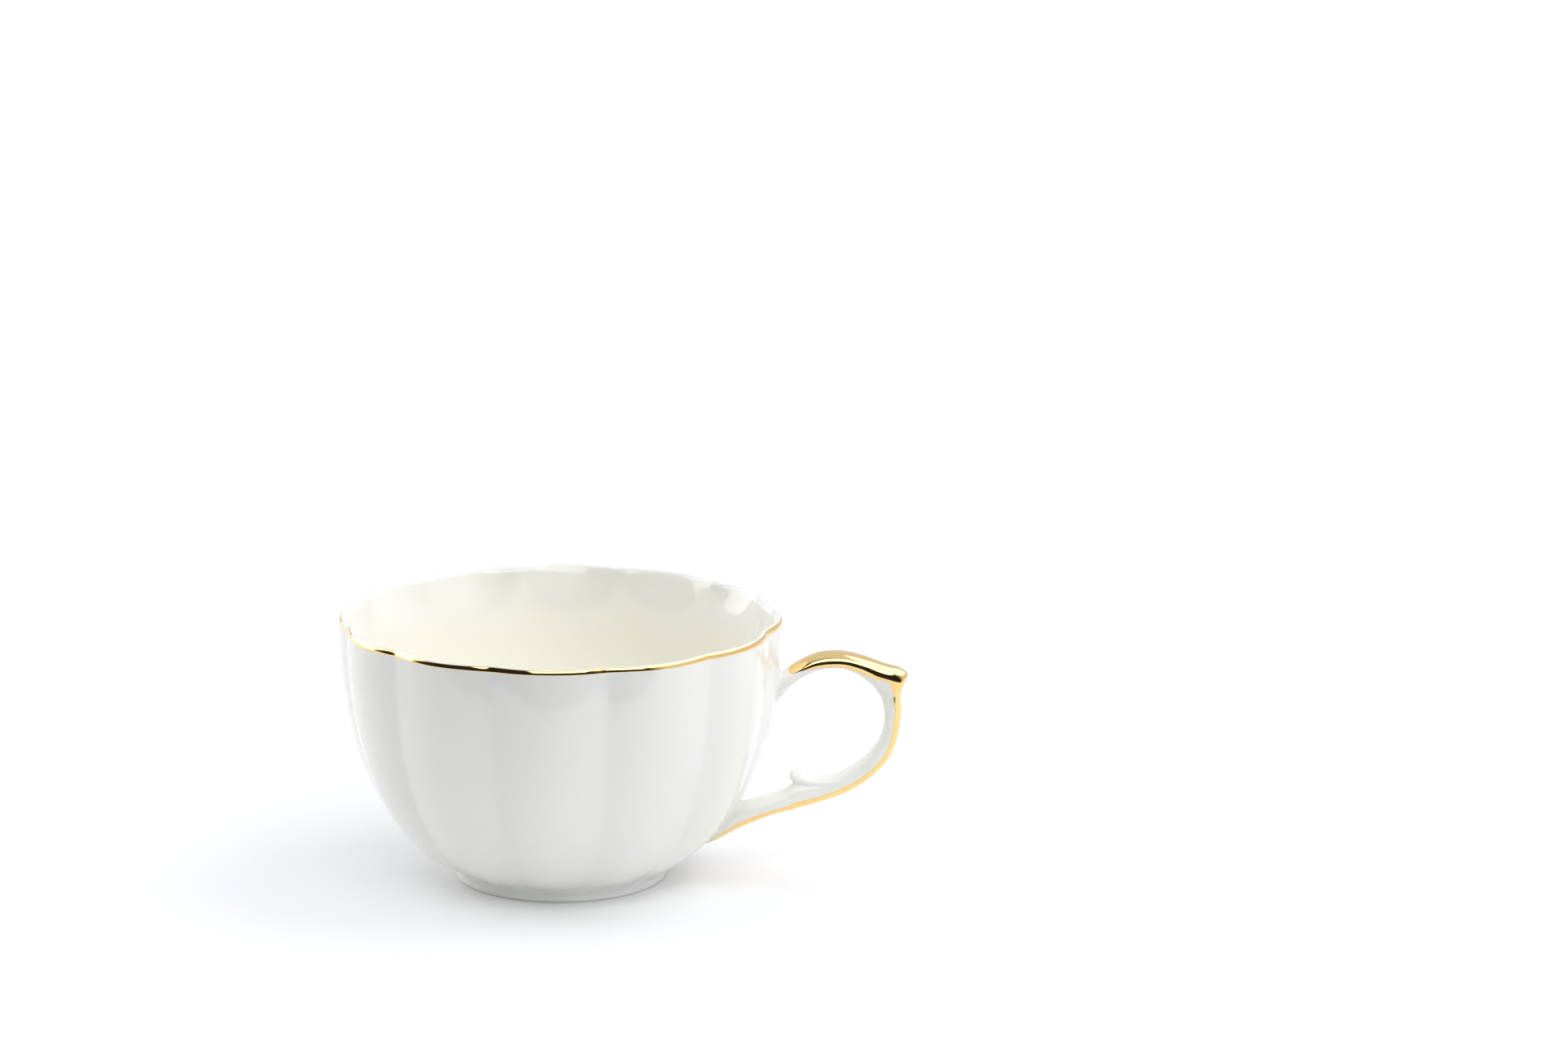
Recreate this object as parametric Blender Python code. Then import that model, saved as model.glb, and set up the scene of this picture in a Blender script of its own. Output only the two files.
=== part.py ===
"""Fluted porcelain teacup with a gilded rim and a gilded C-scroll handle.

The cup is built from the pieces a pottery makes and joins: the fluted bowl, the foot ring under it,
the moulded handle, the two beds of slip that hold the handle on, and the gold on rim and handle.
All sizes are in millimetres and are turned into metres when a mesh is made. The origin is the centre
of the foot where it stands, +Z is up and the handle points along +X.
"""

import math

import bmesh
import bpy
import numpy as np
from mathutils import Matrix

MM = 0.001
GAP = 0.3  # clearance between neighbouring pieces
GOLD = 0.3  # thickness of the solids that stand for the gold films

# Bowl
RIM_RADIUS = 48.0
HEIGHT = 57.75
WALL_ROUNDNESS = 2.886  # exponents of the curve that the wall follows from rim to foot
WALL_DEPTH_POWER = 2.286
WALL_BOTTOM = -0.85  # height at which that curve would reach the axis
LOBES = 12
CREASE_DEPTH = 1.55
CREASE_SOFTNESS = 0.1
LIP_THICKNESS = 1.9
LOWER_WALL = 3.0  # from the tops of the lobes to the smooth inside
INNER_LOBES_FADE = 15.0  # the inside is round from this far below the lip
UNDERSIDE = 3.2
FLOOR = 6.0
FLOOR_BLEND = 1.6
INSIDE_START = 3.4  # lowest height on the outside that the inside follows
FLAT_RADIUS = 12.0  # the middle of the floor and of the underside is flat
COLUMNS = 6 * LOBES

# Foot ring
FOOT_RADIUS = 22.5
FOOT_WIDTH = 3.0
FOOT_FLARE = 0.35  # how much wider the ring is at its top
FOOT_EDGE = 0.6

# Rim gilding
BAND_HEIGHT = 1.2
BAND_TOP_ANGLE = math.radians(105)  # how far it wraps over the lip, from straight out

# Handle: where the section's outer and inner edges lie in the XZ plane, its half width, and the angle
# in degrees that the gold covers to each side of the outer edge
HANDLE_STATIONS = (
    # outer x, z    inner x, z   half width, gold
    (44.0, 42.2, 43.5, 34.8, 3.9, 40),
    (47.6, 45.1, 46.8, 38.8, 3.6, 45),
    (51.2, 47.6, 50.2, 42.7, 3.3, 77),
    (55.7, 49.7, 54.8, 45.6, 3.2, 108),
    (60.8, 50.1, 60.2, 46.5, 3.2, 121),
    (65.7, 49.0, 64.4, 45.0, 3.2, 122),
    (70.2, 47.4, 67.3, 42.7, 3.1, 107),
    (73.3, 46.6, 68.7, 41.0, 2.9, 95),
    (75.1, 45.1, 69.4, 39.8, 2.6, 91),  # tip of the thumb leaf
    (74.3, 42.8, 69.8, 38.4, 2.5, 88),
    (73.7, 40.2, 70.0, 36.9, 2.6, 87),
    (73.9, 36.5, 70.1, 34.9, 2.6, 82),
    (73.2, 31.2, 69.3, 31.3, 2.6, 77),
    (71.2, 26.1, 67.2, 27.8, 2.6, 75),
    (67.2, 21.8, 63.9, 24.7, 2.6, 78),
    (61.9, 18.4, 60.2, 22.6, 2.6, 80),
    (56.5, 16.4, 55.4, 21.3, 2.6, 72),
    (52.6, 15.2, 51.0, 20.6, 2.6, 72),
    (49.6, 14.3, 48.4, 18.8, 2.7, 74),
    (44.9, 12.9, 43.7, 17.2, 2.9, 74),
    (38.6, 10.2, 36.6, 15.4, 3.2, 67),
    (32.6, 7.0, 29.8, 13.8, 3.6, 45),
    (27.5, 6.4, 25.0, 12.6, 3.9, 40),
)
STATIONS_BETWEEN = 2
SECTION_POWER = 2.3  # 2 is an ellipse, more is squarer
SECTION_POINTS = 16
SKIN_POINTS = 9

# Spur: the free end of the inner scroll, above the lower arm
SPUR_STATIONS = (
    # centre x, z, radius, half width
    (64.5, 23.4, 1.6, 2.3),
    (60.4, 21.2, 1.5, 2.4),
    (57.0, 20.75, 1.3, 2.3),
    (54.0, 21.0, 1.35, 2.3),
    (51.9, 21.7, 1.45, 2.2),
)
SPUR_END = 2.6  # length of the spur's rounded end

# Gold on the handle: stretches of the stations above
CREST_GOLD = (1.6, 8.4)
SPINE_GOLD = (8.65, 21.5)
REBATE_MARGIN = 0.07  # in stations, at each end of a strip of gold
REBATE_MARGIN_ANGLE = 7

# Slip between the handle's ends and the wall
SLIP_THICKNESS = 0.8
SLIP_PROUD = 0.35  # how far it stands out around the handle's end
UPPER_SLIP_STATIONS = (0, 3)
LOWER_SLIP_STATIONS = (19, 22)


# ---------------------------------------------------------------- scene, materials, objects


def clear_scene():
    for old in list(bpy.data.objects):
        bpy.data.objects.remove(old, do_unlink=True)


def principled(name, colour, roughness, metallic=0.0):
    """A plain Principled material."""
    material = bpy.data.materials.new(name)
    material.use_nodes = True
    shader = material.node_tree.nodes["Principled BSDF"]
    shader.inputs["Base Color"].default_value = (*colour, 1.0)
    shader.inputs["Roughness"].default_value = roughness
    shader.inputs["Metallic"].default_value = metallic
    return material


def add_object(name, points, faces, material=None):
    """A mesh object from points in millimetres, its faces turned outward."""
    mesh = bpy.data.meshes.new(name)
    mesh.from_pydata([tuple(MM * c for c in point) for point in points], [], faces)
    work = bmesh.new()
    work.from_mesh(mesh)
    bmesh.ops.recalc_face_normals(work, faces=work.faces)
    work.to_mesh(mesh)
    work.free()
    mesh.shade_smooth()
    mesh.set_sharp_from_angle(angle=math.radians(40))
    new = bpy.data.objects.new(name, mesh)
    bpy.context.scene.collection.objects.link(new)
    new.parent = bpy.data.objects.get(ROOT_NAME)
    if material is not None:
        mesh.materials.append(material)
    return new


def as_cutter(new):
    new.hide_render = True
    new.display_type = "WIRE"
    return new


def boolean(target, tool, operation):
    """Puts an exact Boolean on the target."""
    modifier = target.modifiers.new(f"{operation.lower()} {tool.name}", "BOOLEAN")
    modifier.operation = operation
    modifier.solver = "EXACT"
    modifier.object = tool


# ---------------------------------------------------------------- lofts


def loft(rings, closed_along=False):
    """Points and quads that join rings of equal length; open lofts get a face at each end."""
    count = len(rings[0])
    points = [tuple(p) for ring in rings for p in ring]
    rows = len(rings) if closed_along else len(rings) - 1
    faces = []
    for row in range(rows):
        below = row * count
        above = (row + 1) % len(rings) * count
        for i in range(count):
            j = (i + 1) % count
            faces.append((below + i, below + j, above + j, above + i))
    if not closed_along:
        faces.append(tuple(range(count)))
        faces.append(tuple(range(len(points) - count, len(points))))
    return points, faces


def turned(profile, lobe_share, closed=False):
    """Turns a profile of (radius, height) about Z, pressing the flutes in by lobe_share."""
    angles = [2 * math.pi * i / COLUMNS for i in range(COLUMNS)]
    rings = []
    for (radius, height), share in zip(profile, lobe_share):
        ring = []
        for angle in angles:
            r = radius - CREASE_DEPTH * share * (1 - fold(angle))
            ring.append((r * math.cos(angle), r * math.sin(angle), height))
        rings.append(ring)
    return loft(rings, closed_along=closed)


# ---------------------------------------------------------------- bowl wall


def fold(angle):
    """0 in a crease and about 1 on a lobe; a lobe's middle lies on +X."""
    wave = math.cos(angle * LOBES / 2)
    return math.sqrt(wave**2 + CREASE_SOFTNESS**2) - CREASE_SOFTNESS


def wall_radius(z):
    """Radius of the lobes' tops at a height."""
    depth = (HEIGHT - z) / (HEIGHT - WALL_BOTTOM)
    return RIM_RADIUS * (1 - min(depth, 1.0) ** WALL_DEPTH_POWER) ** (1 / WALL_ROUNDNESS)


def wall_point(z, inward):
    """The wall's (radius, height) moved inward square to the wall; outward if negative."""
    step = 0.01
    low, high = max(z - step, WALL_BOTTOM + step), min(z + step, HEIGHT)
    run, rise = wall_radius(high) - wall_radius(low), high - low
    length = math.hypot(run, rise)
    return wall_radius(z) - inward * rise / length, z + inward * run / length


def share_outside(z):
    return wall_radius(z) / RIM_RADIUS


def share_inside(z):
    t = min(max(1 - (HEIGHT - z) / INNER_LOBES_FADE, 0.0), 1.0)
    return t * t * (3 - 2 * t)


def smooth_maximum(a, b, blend):
    return (a + b + math.sqrt((a - b) ** 2 + blend**2)) / 2


def heights(low, high, count, crowding):
    """Heights from low to high, closer together near low."""
    return [low + (high - low) * (i / (count - 1)) ** crowding for i in range(count)]


# ---------------------------------------------------------------- bowl, foot ring, rim gilding

LIP_RADIUS = LIP_THICKNESS / 2
LIP_CENTRE = (RIM_RADIUS - LIP_RADIUS, HEIGHT - LIP_RADIUS)


def lip_arc(radius, start, end, count):
    """Points on a circle about the lip's centre; angle 0 is straight out, 90 degrees is up."""
    angles = [start + (end - start) * i / (count - 1) for i in range(count)]
    return [
        (LIP_CENTRE[0] + radius * math.cos(a), LIP_CENTRE[1] + radius * math.sin(a))
        for a in angles
    ]


def make_bowl(material):
    """Floor, fluted outside, lip with a rebate for its gold, smooth inside."""
    underside = [(FLAT_RADIUS, UNDERSIDE), (FOOT_RADIUS, UNDERSIDE)]
    band_foot = HEIGHT - BAND_HEIGHT - GAP
    outside = [wall_point(z, 0.0) for z in heights(UNDERSIDE, band_foot, 12, 1.7)]
    rebate = GOLD + GAP
    turn = math.asin(GAP / LIP_RADIUS)
    lip = [wall_point(band_foot, rebate)]
    lip += lip_arc(LIP_RADIUS - rebate, 0.0, BAND_TOP_ANGLE + turn, 3)
    lip += lip_arc(LIP_RADIUS, BAND_TOP_ANGLE + turn, math.pi, 3)
    inside = []
    inside_share = []
    for z in reversed(heights(INSIDE_START, HEIGHT - LIP_THICKNESS, 12, 1.8)):
        thickness = LOWER_WALL + (LIP_THICKNESS - LOWER_WALL) * share_inside(z)
        radius, height = wall_point(z, thickness)
        inside.append((radius, smooth_maximum(height, FLOOR, FLOOR_BLEND)))
        inside_share.append(share_inside(z))
    floor = [(FLAT_RADIUS, FLOOR)]
    profile = underside + outside + lip + inside + floor
    share = [0.0] * len(underside)
    share += [share_outside(z) for _, z in outside]
    share += [1.0] * len(lip)
    share += inside_share + [0.0] * len(floor)
    points, faces = turned(profile, share)
    return add_object("bowl", points, faces, material)


def make_foot_ring(material):
    """A low ring with a flat standing face and softened edges."""
    inner = FOOT_RADIUS - FOOT_WIDTH
    top = UNDERSIDE - GAP
    profile = [
        (inner, top),
        (inner + 0.2, FOOT_EDGE),
        (inner + 0.2 + 0.3 * FOOT_EDGE, 0.3 * FOOT_EDGE),
        (inner + 0.2 + FOOT_EDGE, 0.0),
        (FOOT_RADIUS - FOOT_EDGE, 0.0),
        (FOOT_RADIUS - 0.3 * FOOT_EDGE, 0.3 * FOOT_EDGE),
        (FOOT_RADIUS, FOOT_EDGE),
        (FOOT_RADIUS + FOOT_FLARE, top),
    ]
    points, faces = turned(profile, [0.0] * len(profile), closed=True)
    return add_object("foot_ring", points, faces, material)


def make_rim_gilding(material):
    """A thin hooked band on the lip's outer side and top."""
    low = HEIGHT - BAND_HEIGHT
    outer = [wall_point(low, 0.0)] + lip_arc(LIP_RADIUS, 0.0, BAND_TOP_ANGLE, 4)
    inner = lip_arc(LIP_RADIUS - GOLD, BAND_TOP_ANGLE, 0.0, 4) + [wall_point(low, GOLD)]
    profile = outer + inner
    points, faces = turned(profile, [1.0] * len(profile), closed=True)
    return add_object("rim_gilding", points, faces, material)


def wall_solid(name, outward):
    """The space inside the bowl's outer wall, grown outward; a tool for trimming the handle."""
    levels = heights(UNDERSIDE, HEIGHT, 13, 1.7)
    profile = [wall_point(z, -outward) for z in levels]
    points, faces = turned(profile, [share_outside(z) for z in levels])
    return as_cutter(add_object(name, points, faces))


# ---------------------------------------------------------------- handle


def catmull_rom(rows, position):
    """A smooth curve through rows of numbers; position 2.5 is midway from row 2 to row 3."""
    last = len(rows) - 1
    i = min(int(position), last - 1)
    t = position - i
    before, start, end, after = (
        np.array(rows[min(max(k, 0), last)], float) for k in (i - 1, i, i + 1, i + 2)
    )
    return (
        2 * start
        + (end - before) * t
        + (2 * before - 5 * start + 4 * end - after) * t**2
        + (3 * (start - end) + after - before) * t**3
    ) / 2


def section(position, turns, sunk, gold_margin=None):
    """Points on the handle's section at a place along it, sunk below its surface.

    The turns are in parts of a half circle from the outer edge, or with a gold_margin in parts of
    the angle that the gold covers there and that margin.
    """
    xo, zo, xi, zi, half_width, gold = catmull_rom(HANDLE_STATIONS, position)
    span = 180 if gold_margin is None else gold + gold_margin
    outer, inner = np.array((xo, zo)), np.array((xi, zi))
    centre = (outer + inner) / 2
    half_depth = np.linalg.norm(outer - inner) / 2
    outward = (outer - centre) / half_depth
    power = 2 / SECTION_POWER
    ring = []
    for turn in turns:
        angle = math.radians(span * turn)
        c, s = math.cos(angle), math.sin(angle)
        depth = (half_depth - sunk) * math.copysign(abs(c) ** power, c)
        x, z = centre + outward * depth
        ring.append((x, (half_width - sunk) * math.copysign(abs(s) ** power, s), z))
    return ring


def steps(start, end):
    """Places along the handle from start to end, STATIONS_BETWEEN to a station."""
    count = max(2, round((end - start) * STATIONS_BETWEEN) + 1)
    return [start + (end - start) * i / (count - 1) for i in range(count)]


def swept(start, end, sunk=0.0):
    """A stretch of the handle's full section."""
    turns = [2 * i / SECTION_POINTS for i in range(SECTION_POINTS)]
    return loft([section(place, turns, sunk) for place in steps(start, end)])


def gold_strip(start, end, margin, top, bottom):
    """A strip that follows the handle's outer side between two depths below its surface."""
    turns = [2 * i / (SKIN_POINTS - 1) - 1 for i in range(SKIN_POINTS)]
    rings = []
    for place in steps(start, end):
        over = section(place, turns, top, margin)
        under = section(place, turns, bottom, margin)
        rings.append(over + under[::-1])
    return loft(rings)


def spur_section(x, z, radius, half_width, direction):
    """An upright elliptical section square to the direction that the spur runs in."""
    across = np.array((-direction[1], direction[0]))
    ring = []
    for i in range(SECTION_POINTS):
        angle = 2 * math.pi * i / SECTION_POINTS
        px, pz = np.array((x, z)) + across * radius * math.cos(angle)
        ring.append((px, half_width * math.sin(angle), pz))
    return ring


def make_spur():
    """The scroll's free end, with a rounded nose."""
    last = len(SPUR_STATIONS) - 1
    places = [last * i / 10 for i in range(11)]
    rows = [catmull_rom(SPUR_STATIONS, place) for place in places]
    rings = []
    for i, (x, z, radius, half_width) in enumerate(rows):
        ahead, behind = rows[min(i + 1, 10)], rows[max(i - 1, 0)]
        direction = (ahead - behind)[:2] / np.linalg.norm((ahead - behind)[:2])
        rings.append(spur_section(x, z, radius, half_width, direction))
    x, z, radius, half_width = rows[-1]
    for share in (0.35, 0.65, 0.85, 0.97):
        size = math.sqrt(1 - share**2)
        end_x, end_z = np.array((x, z)) + direction * SPUR_END * share
        rings.append(
            spur_section(end_x, end_z, radius * size, half_width * size, direction)
        )
    points, faces = loft(rings)
    return as_cutter(add_object("spur_tool", points, faces))


def rebate_tool(name, gold):
    """Removes room for a strip of gold and the clearance around it."""
    start, end = gold[0] - REBATE_MARGIN, gold[1] + REBATE_MARGIN
    depth = GOLD + GAP
    points, faces = gold_strip(start, end, REBATE_MARGIN_ANGLE, -depth, depth)
    return as_cutter(add_object(name, points, faces))


def make_handle(material, spur, wall_tool):
    """The C-scroll from wall to wall, with its spur, trimmed at the wall and rebated for gold."""
    points, faces = swept(0, len(HANDLE_STATIONS) - 1)
    handle = add_object("handle", points, faces, material)
    boolean(handle, spur, "UNION")
    boolean(handle, wall_tool, "DIFFERENCE")
    boolean(handle, rebate_tool("crest_rebate_tool", CREST_GOLD), "DIFFERENCE")
    boolean(handle, rebate_tool("spine_rebate_tool", SPINE_GOLD), "DIFFERENCE")
    return handle


def make_handle_gilding(name, gold, material, wall_tool):
    points, faces = gold_strip(*gold, 0.0, 0.0, GOLD)
    gilding = add_object(name, points, faces, material)
    boolean(gilding, wall_tool, "DIFFERENCE")
    return gilding


def make_slip_joint(name, stations, material, inner_tool, outer_tool):
    """The bed of slip that fills the space between the handle's end and the wall."""
    points, faces = swept(*stations, sunk=-SLIP_PROUD)
    joint = add_object(name, points, faces, material)
    boolean(joint, outer_tool, "INTERSECT")
    boolean(joint, inner_tool, "DIFFERENCE")
    return joint


# ---------------------------------------------------------------- the cup

ROOT_NAME = "teacup"


def main():
    clear_scene()
    root = bpy.data.objects.new(ROOT_NAME, None)
    root.matrix_world = Matrix.Identity(4)
    bpy.context.scene.collection.objects.link(root)

    porcelain = principled("glazed_porcelain", (0.86, 0.87, 0.86), 0.12)
    slip = principled("glazed_slip", (0.84, 0.85, 0.84), 0.15)
    foot = principled("foot_porcelain", (0.83, 0.82, 0.79), 0.2)
    gold = principled("gold_lustre", (0.83, 0.57, 0.18), 0.12, 1.0)

    make_bowl(porcelain)
    make_foot_ring(foot)
    make_rim_gilding(gold)

    slip_inner = wall_solid("slip_inner_tool", GAP)
    slip_outer = wall_solid("slip_outer_tool", GAP + SLIP_THICKNESS)
    handle_trim = wall_solid("handle_trim_tool", 2 * GAP + SLIP_THICKNESS)
    make_handle(porcelain, make_spur(), handle_trim)
    make_handle_gilding("crest_gilding", CREST_GOLD, gold, handle_trim)
    make_handle_gilding("spine_gilding", SPINE_GOLD, gold, handle_trim)
    make_slip_joint("upper_slip_joint", UPPER_SLIP_STATIONS, slip, slip_inner, slip_outer)
    make_slip_joint("lower_slip_joint", LOWER_SLIP_STATIONS, slip, slip_inner, slip_outer)


main()
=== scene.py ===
"""The looks of a fluted porcelain teacup with a gilded rim and a gilded C-scroll handle.

Every piece is built at full smoothness from the curves that the CAD model follows, and stands for its
CAD node. Shape sizes are in millimetres and are turned into metres when a mesh is made.
"""

import math

import bmesh
import bpy
import numpy as np
from mathutils import Matrix, Vector
from mathutils.bvhtree import BVHTree


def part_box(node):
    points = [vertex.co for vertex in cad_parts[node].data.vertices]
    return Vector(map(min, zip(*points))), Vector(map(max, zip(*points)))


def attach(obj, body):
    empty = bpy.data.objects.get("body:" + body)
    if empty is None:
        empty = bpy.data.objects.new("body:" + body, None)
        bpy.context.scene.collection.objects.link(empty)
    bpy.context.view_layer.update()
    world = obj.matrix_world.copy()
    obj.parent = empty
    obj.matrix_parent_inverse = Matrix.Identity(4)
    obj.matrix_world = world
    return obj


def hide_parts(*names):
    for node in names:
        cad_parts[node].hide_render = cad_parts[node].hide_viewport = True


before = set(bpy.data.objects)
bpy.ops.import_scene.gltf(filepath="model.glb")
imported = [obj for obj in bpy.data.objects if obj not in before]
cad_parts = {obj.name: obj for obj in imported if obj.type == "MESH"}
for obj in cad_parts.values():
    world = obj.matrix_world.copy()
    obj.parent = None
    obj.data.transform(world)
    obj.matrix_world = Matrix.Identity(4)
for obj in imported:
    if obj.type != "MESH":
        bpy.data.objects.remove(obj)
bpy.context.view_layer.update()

MM = 0.001

# Bowl. Its rim, height and foot come from the frame; the wall between them follows one curve.
LOBES = 12
CREASE_DEPTH = 1.55
CREASE_SOFTNESS = 0.14
WALL_ROUNDNESS = 2.886
WALL_DEPTH_POWER = 2.286
WALL_BOTTOM = -0.85  # height at which the wall's curve would close on the axis
LOWER_WALL = 3.5  # the wall's thickness away from the lip
WALL_THICKENS_OVER = 15.5  # height below the lip over which it gets there
INNER_LOBES_FADE = 9.0  # height below the rim over which the inside loses its fluting
INNER_ROUND = 0.64  # share of the crease depth that the round inside keeps below the fluting
OUTER_LIP = (0.7, 1.25)  # width and height of the quarter ellipse outside the lip's crest
INNER_LIP = (1.2, 2.3)  # and of the one inside it
LIP_END = 151  # angle on the lip where the inside wall takes over, in degrees
LIP_DEPTH = INNER_LIP[1] * (1 - math.sin(math.radians(LIP_END)))  # below the crest there
LIP_WIDTH = OUTER_LIP[0] - INNER_LIP[0] * math.cos(math.radians(LIP_END))  # the wall's, there
FLOOR = 6.0  # height of the floor inside
FLOOR_BLEND = 1.6
INSIDE_START = 3.4  # height, under the floor, at which the inside's curve starts
LOBE_TOP = 1 - (math.sqrt(1 + CREASE_SOFTNESS**2) - CREASE_SOFTNESS)  # what fold lacks on a lobe
UNDER_RADII = np.array((2.0, 6.0, 10.0, 14.0, 17.0, 19.0, 20.2, 21.2, 22.4, 23.6, 24.4))
UNDER_ARCH = 0.25  # how far the underside arches up on the axis
ARCH_RADIUS = 19.0
RING_DIP = 0.18  # how far the underside dips where the foot ring meets it
DIP_RADIUS = 23.0
UNDER_FLUTING = 0.3  # share of the fluting at the underside's outer edge
UNDER_SMOOTH = 22.0  # radius within which the underside has none
INSIDE_SHADE_START = 3.5  # depth below the rim at which painted warm shade starts to make the inside creamier
INSIDE_SHADE_REACH = 16.0


def frame_size(node, axis, side):
    """A side of a CAD node's box, in millimetres; side 0 is the low one."""
    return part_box(node)[side][axis] / MM


HEIGHT = frame_size("rim_gilding", 2, 1)
RIM_RADIUS = frame_size("rim_gilding", 1, 1) + CREASE_DEPTH * LOBE_TOP
UNDERSIDE = frame_size("bowl", 2, 0)
FOOT_TOP = frame_size("foot_ring", 2, 1)
FOOT_TOP_RADIUS = frame_size("foot_ring", 1, 1)
FOOT_BASE = frame_size("foot_ring", 2, 0)
RING_WIDTH = 3.4
SWEEP_TOP = 4.1  # height at which the foot ring's side has become the bowl's wall

# Handle: outer x, z; inner x, z; half width; angle in degrees that the gold covers to each side
HANDLE_STATIONS = np.array(
    [
        (44.0, 42.2, 43.5, 34.8, 3.9, 40),
        (47.6, 45.1, 46.8, 38.8, 3.6, 45),
        (51.2, 47.6, 50.2, 42.7, 3.3, 77),
        (55.7, 49.7, 54.8, 45.6, 3.2, 108),
        (60.8, 50.1, 60.2, 46.5, 3.2, 121),
        (65.7, 49.0, 64.4, 45.0, 3.2, 118),
        (70.2, 47.4, 67.3, 42.7, 3.1, 103),
        (73.3, 46.6, 68.7, 41.0, 2.9, 93),
        (75.1, 45.1, 69.4, 39.8, 2.6, 102),
        (74.3, 42.8, 69.8, 38.4, 2.5, 94),
        (73.7, 40.2, 70.0, 36.9, 2.6, 86),
        (73.9, 36.5, 70.1, 34.9, 2.6, 86),
        (73.2, 31.2, 69.3, 31.3, 2.6, 85),
        (71.2, 26.1, 67.2, 27.8, 2.6, 82),
        (67.2, 21.8, 63.9, 24.7, 2.6, 84),
        (61.9, 18.4, 60.2, 22.6, 2.6, 85),
        (56.5, 16.4, 55.4, 21.3, 2.6, 78),
        (52.6, 15.2, 51.0, 20.6, 2.6, 77),
        (49.6, 14.3, 48.4, 18.8, 2.7, 78),
        (44.9, 12.9, 43.7, 17.2, 2.9, 78),
        (38.6, 10.2, 36.6, 15.4, 3.2, 71),
        (32.6, 7.0, 29.8, 13.8, 3.6, 45),
        (27.5, 6.4, 25.0, 12.6, 3.9, 40),
    ]
)
SECTION_POWER = 2.3  # 2 would make the handle's section an ellipse
CREST_SAG = 0.35  # how far the crest is widest below the middle of its section
CREST_PLACE = 3.8  # where along the handle it sags most
CREST_REACH = 0.8
# Spur: centre x, z; radius; half width
SPUR_STATIONS = np.array(
    [
        (64.5, 23.4, 1.6, 2.3),
        (60.4, 21.2, 1.5, 2.4),
        (57.0, 20.75, 1.3, 2.3),
        (54.0, 21.0, 1.35, 2.3),
        (52.0, 21.7, 1.7, 2.25),
    ]
)
SPUR_END = 2.4  # length of its rounded end
HANDLE_ROOT = 0.9  # how deep the handle's ends reach into the wall
VOXEL = 0.2  # grain at which scroll and spur are grown together


# ---------------------------------------------------------------- curves of the bowl


def fold(angle):
    """0 in a crease and about 1 on a lobe; a lobe's middle lies on +X."""
    wave = np.cos(np.asarray(angle) * LOBES / 2)
    return np.sqrt(wave**2 + CREASE_SOFTNESS**2) - CREASE_SOFTNESS


def crease(angle):
    """How far the fluting draws the rim inward."""
    return CREASE_DEPTH * (1 - fold(angle))


def wall_radius(z):
    depth = np.clip((HEIGHT - np.asarray(z, float)) / (HEIGHT - WALL_BOTTOM), 0, 1)
    return RIM_RADIUS * (1 - depth**WALL_DEPTH_POWER) ** (1 / WALL_ROUNDNESS)


def wall_profile(z, inward):
    """Radius and height of the wall's outline moved inward square to it."""
    step = 0.01
    low = np.maximum(z - step, WALL_BOTTOM + step)
    high = np.minimum(z + step, HEIGHT)
    run, rise = wall_radius(high) - wall_radius(low), high - low
    length = np.hypot(run, rise)
    return wall_radius(z) - inward * rise / length, z + inward * run / length


def wall_point(angle, z, outward=0.0):
    """A point on the fluted outside, or off it by outward."""
    radius, height = wall_profile(z, -outward)
    radius = radius - crease(angle) * wall_radius(z) / RIM_RADIUS
    return np.array((radius * np.cos(angle), radius * np.sin(angle), height))


def unit(vector):
    return vector / np.linalg.norm(vector)


def smooth_step(t):
    t = np.clip(t, 0, 1)
    return t * t * (3 - 2 * t)


def smooth_maximum(a, b, blend):
    return (a + b + np.sqrt((a - b) ** 2 + blend**2)) / 2


def spline(rows, position):
    """A Catmull-Rom curve through rows of numbers; position 2.5 is midway from row 2 to 3."""
    last = len(rows) - 1
    i = min(int(position), last - 1)
    t = position - i
    before, start, end, after = (
        rows[min(max(k, 0), last)] for k in (i - 1, i, i + 1, i + 2)
    )
    return (
        2 * start
        + (end - before) * t
        + (2 * before - 5 * start + 4 * end - after) * t**2
        + (3 * (start - end) + after - before) * t**3
    ) / 2


# ---------------------------------------------------------------- meshes


def make_object(name, points, faces, attributes=None):
    """A smooth-shaded mesh object from points in millimetres."""
    mesh = bpy.data.meshes.new(name)
    mesh.from_pydata((np.asarray(points) * MM).tolist(), [], faces)
    for key, values in (attributes or {}).items():
        layer = mesh.attributes.new(key, "FLOAT", "POINT")
        layer.data.foreach_set("value", np.asarray(values, np.float32))
    work = bmesh.new()
    work.from_mesh(mesh)
    bmesh.ops.recalc_face_normals(work, faces=work.faces)
    work.to_mesh(mesh)
    work.free()
    mesh.shade_smooth()
    new = bpy.data.objects.new(name, mesh)
    bpy.context.scene.collection.objects.link(new)
    return new


def grid_faces(rows, columns, wrap_rows=False, offset=0):
    """Quads over a grid of points stored row by row, each row a closed ring."""
    faces = []
    for row in range(rows if wrap_rows else rows - 1):
        here = row * columns + offset
        above = (row + 1) % rows * columns + offset
        for i in range(columns):
            j = (i + 1) % columns
            faces.append((here + i, here + j, above + j, above + i))
    return faces


def pole_faces(ring, pole):
    """Triangles from a closed ring of points to one point."""
    count = len(ring)
    return [(ring[i], ring[(i + 1) % count], pole) for i in range(count)]


def apply_modifiers(source):
    """Replaces an object's mesh by its evaluated one."""
    depsgraph = bpy.context.evaluated_depsgraph_get()
    mesh = bpy.data.meshes.new_from_object(source.evaluated_get(depsgraph))
    old = source.data
    source.modifiers.clear()
    source.data = mesh
    bpy.data.meshes.remove(old)
    mesh.shade_smooth()


def mesh_points(mesh):
    flat = np.empty(len(mesh.vertices) * 3, np.float32)
    mesh.vertices.foreach_get("co", flat)
    return flat.reshape(-1, 3).astype(float)


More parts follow.
